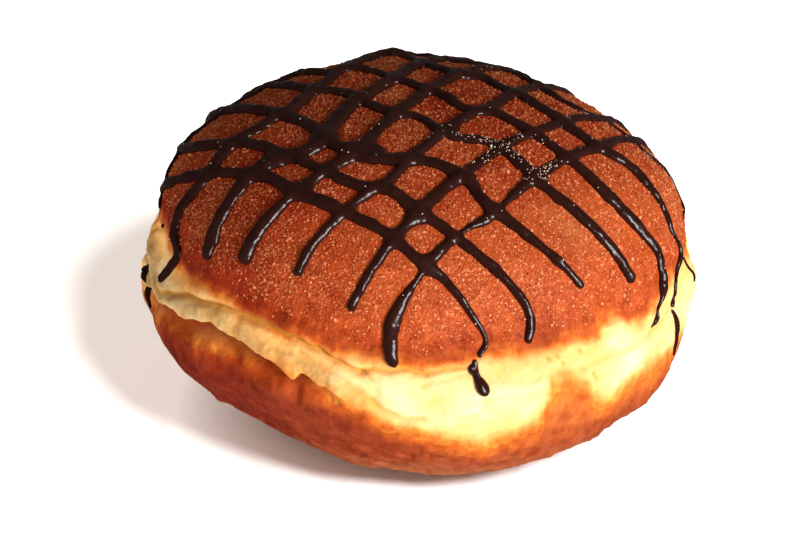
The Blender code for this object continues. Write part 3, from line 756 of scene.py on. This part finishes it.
def dough_material():
    material, nodes, links, shader = start_material("dough")
    place = nodes.new("ShaderNodeTexCoord").outputs["Object"]
    below, above = values_of(nodes, "below_upper_crust"), values_of(nodes, "above_lower_crust")
    fine = sums(nodes, links, "MULTIPLY",
                sums(nodes, links, "SUBTRACT", noise(nodes, links, place, 480, 3, 0.55), 0.5), 2.6)
    broad = noise(nodes, links, place, 130, 3, 0.6)
    mottle = noise(nodes, links, place, 420, 3, 0.6)
    grain = noise(nodes, links, place, 2400, 2, 0.6)
    upper = ramp(nodes, links, sums(nodes, links, "ADD", below, fine), -9, 6, (
        (-9, CRUST), (-4, CRUST), (-1.2, DARK_CRUST), (0.0, RUST), (0.8, AMBER), (2.2, STRAW), (6, CREAM)))
    lower = ramp(nodes, links, sums(nodes, links, "ADD", above, fine), -9, 5, (
        (-9, LOW_CRUST), (-5, LOW_CRUST), (-1.8, LOW_RUST), (-0.3, AMBER), (0.8, GOLD), (2.2, STRAW), (5, CREAM)))
    skin = mix(nodes, links, "DARKEN", 1.0, upper, lower)
    # Painted light: the crust is tinted paler on the side the key lamp faces
    painted_light_tint = ramp(nodes, links, values_of(nodes, "painted_light"), 0, 1, ((0, WHITE), (0.45, (1.08, 1.12, 1.0)),
                                                                   (1, (1.52, 2.75, 1.95))))
    spots = ramp(nodes, links, mottle, 0.3, 0.7, ((0.3, (0.78, 0.69, 0.67)), (0.7, (1.16, 1.24, 1.25))))
    tide = ramp(nodes, links, broad, 0.35, 0.65, ((0.35, (0.84, 0.75, 0.73)), (0.65, (1.10, 1.16, 1.16))))
    specks = ramp(nodes, links, grain, 0.35, 0.65, ((0.35, (0.78, 0.64, 0.60)), (0.65, (1.16, 1.26, 1.22))))
    pale_way = sums(nodes, links, "MINIMUM", below, above)
    deep = sums(nodes, links, "MAXIMUM", ramp(nodes, links, below, -1.0, 0.3, ((-1.0, WHITE), (0.3, BLACK))),
                ramp(nodes, links, above, -2.2, -0.5, ((-2.2, WHITE), (-0.5, BLACK))))
    browned = mix(nodes, links, "MULTIPLY", deep, skin, painted_light_tint)
    deeper = ramp(nodes, links, pale_way, -2.6, -0.8, ((-2.6, WHITE), (-0.8, BLACK)))
    fair_below = sums(nodes, links, "MULTIPLY", values_of(nodes, "fair_below"), deeper)
    near_base = ramp(nodes, links, values_of(nodes, "reach"), 56, 74, (
        (56, BLACK), (60, WHITE), (64, WHITE), (74, BLACK)))
    fair_below = sums(nodes, links, "MULTIPLY", fair_below, near_base)
    browned = mix(nodes, links, "MIX", sums(nodes, links, "MULTIPLY", fair_below, 0.7), browned, ORANGE_CRUST)
    for layer in (spots, tide):
        browned = mix(nodes, links, "MULTIPLY", 1.0, browned, layer)
    sugared = ramp(nodes, links, below, -2.0, 1.0, ((-2.0, WHITE), (1.0, BLACK)))
    browned = mix(nodes, links, "MULTIPLY", sugared, browned, specks)
    squeeze = add_node(nodes, "ShaderNodeMapping")
    squeeze.inputs["Scale"].default_value = (1.0, 1.0, 0.22)
    links.new(place, squeeze.inputs["Vector"])
    runs = ramp(nodes, links, noise(nodes, links, squeeze.outputs["Vector"], 620, 2, 0.6), 0.35, 0.65,
                ((0.35, (0.84, 0.76, 0.76)), (0.65, (1.14, 1.20, 1.18))))
    near_edge = ramp(nodes, links, below, -16, -6, ((-16, BLACK), (-6, WHITE)))
    browned = mix(nodes, links, "MULTIPLY", near_edge, browned, runs)
    foot = ramp(nodes, links, sums(nodes, links, "ADD", values_of(nodes, "reach"),
                                   sums(nodes, links, "MULTIPLY", mottle, 12.0)), 80, 90, ((80, BLACK), (90, WHITE)))
    browned = mix(nodes, links, "MIX", foot, browned, FOOT_BROWN)
    browned = mix(nodes, links, "MIX", values_of(nodes, "fair_patch"), browned, FAIR_BROWN)
    swollen = values_of(nodes, "swollen")
    height = sums(nodes, links, "ADD", swollen, sums(nodes, links, "MULTIPLY", fine, 0.10))
    # Painted highlight: the tops of the waist's lumps are whitened
    painted_highlight_share = sums(nodes, links, "MULTIPLY", ramp(nodes, links, height, 0.0, 0.45, ((0.0, BLACK), (0.45, WHITE))),
                    ramp(nodes, links, pale_way, 0.8, 4.0, ((0.8, BLACK), (4.0, WHITE))))
    pale = mix(nodes, links, "MIX", painted_highlight_share, skin, PAINTED_LUMP_HIGHLIGHT)
    # Painted shade: the valleys between the waist's lumps are yellowed
    painted_valley_shade_share = ramp(nodes, links, height, -0.36, -0.10, ((-0.36, (0.6, 0.6, 0.6)), (-0.10, BLACK)))
    pale = mix(nodes, links, "MIX", painted_valley_shade_share, pale, PAINTED_VALLEY_SHADE)
    pale = mix(nodes, links, "MULTIPLY", 0.22, pale, spots)
    # The torn lip darkened in mottled shreds: crumbly torn dough, and painted shade where the lip lies in its own
    # shade
    torn_shreds_and_shade = ramp(nodes, links, mottle, 0.3, 0.7, ((0.3, (0.54, 0.49, 0.38)), (0.7, (0.74, 0.76, 0.72))))
    pale = mix(nodes, links, "MULTIPLY", values_of(nodes, "torn"), pale, torn_shreds_and_shade)
    paleness = ramp(nodes, links, pale_way, -0.5, 3.0, ((-0.5, BLACK), (3.0, WHITE)))
    colour = mix(nodes, links, "MIX", paleness, browned, pale)
    # Under the lip: browned dough and painted shade of the hollow
    colour = mix(nodes, links, "MIX", values_of(nodes, "under_lip"), colour, HOLLOW_BROWN_AND_SHADE)
    # Painted shade: a golden tint along the crease and folds; the pits take it as scorch
    colour = mix(nodes, links, "MIX", values_of(nodes, "crease_shade_and_scorch"), colour, CREASE_SHADE_AND_SCORCH)
    links.new(colour, shader.inputs["Base Color"])
    links.new(ramp(nodes, links, pale_way, -2.0, 1.5, ((-2.0, (0.40, 0.40, 0.40)), (1.5, (0.75, 0.75, 0.75)))),
              shader.inputs["Roughness"])
    shader.inputs["Specular IOR Level"].default_value = 0.03
    shader.inputs["Subsurface Weight"].default_value = 0.12
    shader.inputs["Subsurface Radius"].default_value = (1.0, 0.45, 0.2)
    shader.inputs["Subsurface Scale"].default_value = 0.0012
    skin_bump = nodes.new("ShaderNodeBump")
    skin_bump.inputs["Strength"].default_value = 0.5
    skin_bump.inputs["Distance"].default_value = 0.0004
    links.new(noise(nodes, links, place, 1300, 3, 0.6), skin_bump.inputs["Height"])
    links.new(skin_bump.outputs["Normal"], shader.inputs["Normal"])
    return material


def chocolate_material():
    material, nodes, links, shader = start_material("chocolate")
    place = nodes.new("ShaderNodeTexCoord").outputs["Object"]
    shade = noise(nodes, links, place, 300, 2)
    links.new(mix(nodes, links, "MIX", shade, (0.012, 0.0030, 0.0022), (0.026, 0.0065, 0.0042)),
              shader.inputs["Base Color"])
    shine = nodes.new("ShaderNodeMapRange")
    shine.inputs["To Min"].default_value = 0.10
    shine.inputs["To Max"].default_value = 0.34
    links.new(noise(nodes, links, place, 500, 2), shine.inputs["Value"])
    links.new(shine.outputs["Result"], shader.inputs["Roughness"])
    ripple = nodes.new("ShaderNodeBump")
    ripple.inputs["Strength"].default_value = 0.6
    ripple.inputs["Distance"].default_value = 0.0003
    links.new(noise(nodes, links, place, 700, 2), ripple.inputs["Height"])
    links.new(ripple.outputs["Normal"], shader.inputs["Normal"])
    shader.inputs["Specular IOR Level"].default_value = 0.22
    return material


def sugar_material():
    material, nodes, links, shader = start_material("sugar")
    links.new(ramp(nodes, links, values_of(nodes, "whiteness"), 0, 2, (
        (0, (0.36, 0.050, 0.010)), (1, (0.75, 0.26, 0.11)), (2, (0.80, 0.57, 0.42)))), shader.inputs["Base Color"])
    shader.inputs["Roughness"].default_value = 0.4
    shader.inputs["Specular IOR Level"].default_value = 0.08
    shader.inputs["Subsurface Weight"].default_value = 0.12
    shader.inputs["Subsurface Radius"].default_value = (1.0, 0.5, 0.3)
    shader.inputs["Subsurface Scale"].default_value = 0.0005
    return material


def floor_material():
    material, nodes, links, shader = start_material("floor")
    place = nodes.new("ShaderNodeTexCoord").outputs["Object"]
    links.new(mix(nodes, links, "MIX", noise(nodes, links, place, 3), (0.90, 0.90, 0.90), (0.92, 0.92, 0.92)),
              shader.inputs["Base Color"])
    shader.inputs["Roughness"].default_value = 0.9
    shader.inputs["Emission Color"].default_value = (1.0, 0.90, 0.82, 1.0)
    # The floor glows as a light of its own and lights the bun from below; near the bun its glow is darkened by ambient
    # occlusion, a painted contact shadow
    open_air = nodes.new("ShaderNodeAmbientOcclusion")
    open_air.samples = 8
    open_air.inputs["Distance"].default_value = 0.012
    near = sums(nodes, links, "POWER", open_air.outputs["AO"], 1.1)
    links.new(sums(nodes, links, "MULTIPLY", near, 0.69), shader.inputs["Emission Strength"])
    return material


def add_light(name, azimuth, elevation, spread, strength, colour, lit, glossy=True):
    """A broad far light that comes from an azimuth, 0 at the right and -90 in front, for some pieces."""
    lamp = bpy.data.lights.new(name, "SUN")
    lamp.energy = strength
    lamp.angle = math.radians(spread)
    lamp.color = colour
    light = bpy.data.objects.new(name, lamp)
    light.visible_glossy = glossy
    light.rotation_euler = (math.radians(90 - elevation), 0, math.radians(azimuth + 90))
    bpy.context.scene.collection.objects.link(light)
    group = bpy.data.collections.new(name + "_lit")
    for piece in lit:
        group.objects.link(piece)
    light.light_linking.receiver_collection = group


def set_the_stage(food):
    size = 3.0
    mesh = bpy.data.meshes.new("floor")
    mesh.from_pydata([(-size, -size, 0), (size, -size, 0), (size, size, 0), (-size, size, 0)], [],
                     [(0, 1, 2, 3)])
    mesh.materials.append(floor_material())
    floor = bpy.data.objects.new("floor", mesh)
    floor.visible_glossy = False
    bpy.context.scene.collection.objects.link(floor)
    world = bpy.data.worlds.new("studio")
    world.use_nodes = True
    world.node_tree.nodes["Background"].inputs["Color"].default_value = (1.0, 0.98, 0.96, 1.0)
    world.node_tree.nodes["Background"].inputs["Strength"].default_value = 0.08
    bpy.context.scene.world = world
    add_light("key", *KEY_LIGHT, food)
    add_light("fill", *FILL_LIGHT, food, glossy=False)
    add_light("floor_light", *FLOOR_LIGHT, [floor])
    bpy.context.scene.view_settings.view_transform = "Standard"


def set_the_camera():
    camera = bpy.data.cameras.new("camera")
    camera.lens = LENS
    camera.sensor_width = 36.0
    camera.clip_start = 0.01
    holder = bpy.data.objects.new("camera", camera)
    lift = math.radians(VIEW_ELEVATION)
    x, y, z = VIEW_TARGET
    holder.location = (x * MM, (y - VIEW_DISTANCE * math.cos(lift)) * MM,
                       (z + VIEW_DISTANCE * math.sin(lift)) * MM)
    holder.rotation_euler = (math.radians(90 - VIEW_ELEVATION), 0, 0)
    bpy.context.scene.collection.objects.link(holder)
    bpy.context.scene.camera = holder


drizzle = lay_drizzle()
dough = make_dough(dough_material())
chocolate = make_chocolate(drizzle, chocolate_material())
sugar = sugar_material()
grains = [make_sugar(name, count, size, shape, sides, drizzle, sugar, seed) for name, count, size, shape, sides, seed in (
    ("sugar_dust", DUST_SUGAR, DUST_SIZE, CHIP, CHIP_SIDES, 10),
    ("sugar_fine", FINE_SUGAR, FINE_SIZE, CUBE, CUBE_SIDES, 20),
    ("sugar_coarse", COARSE_SUGAR, COARSE_SIZE, CUBE, CUBE_SIDES, 30))]
for part in (dough, chocolate, *grains):
    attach(part, "root")
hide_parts("doughnut")
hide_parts("doughnut")
set_the_stage([dough, chocolate, *grains])
set_the_camera()
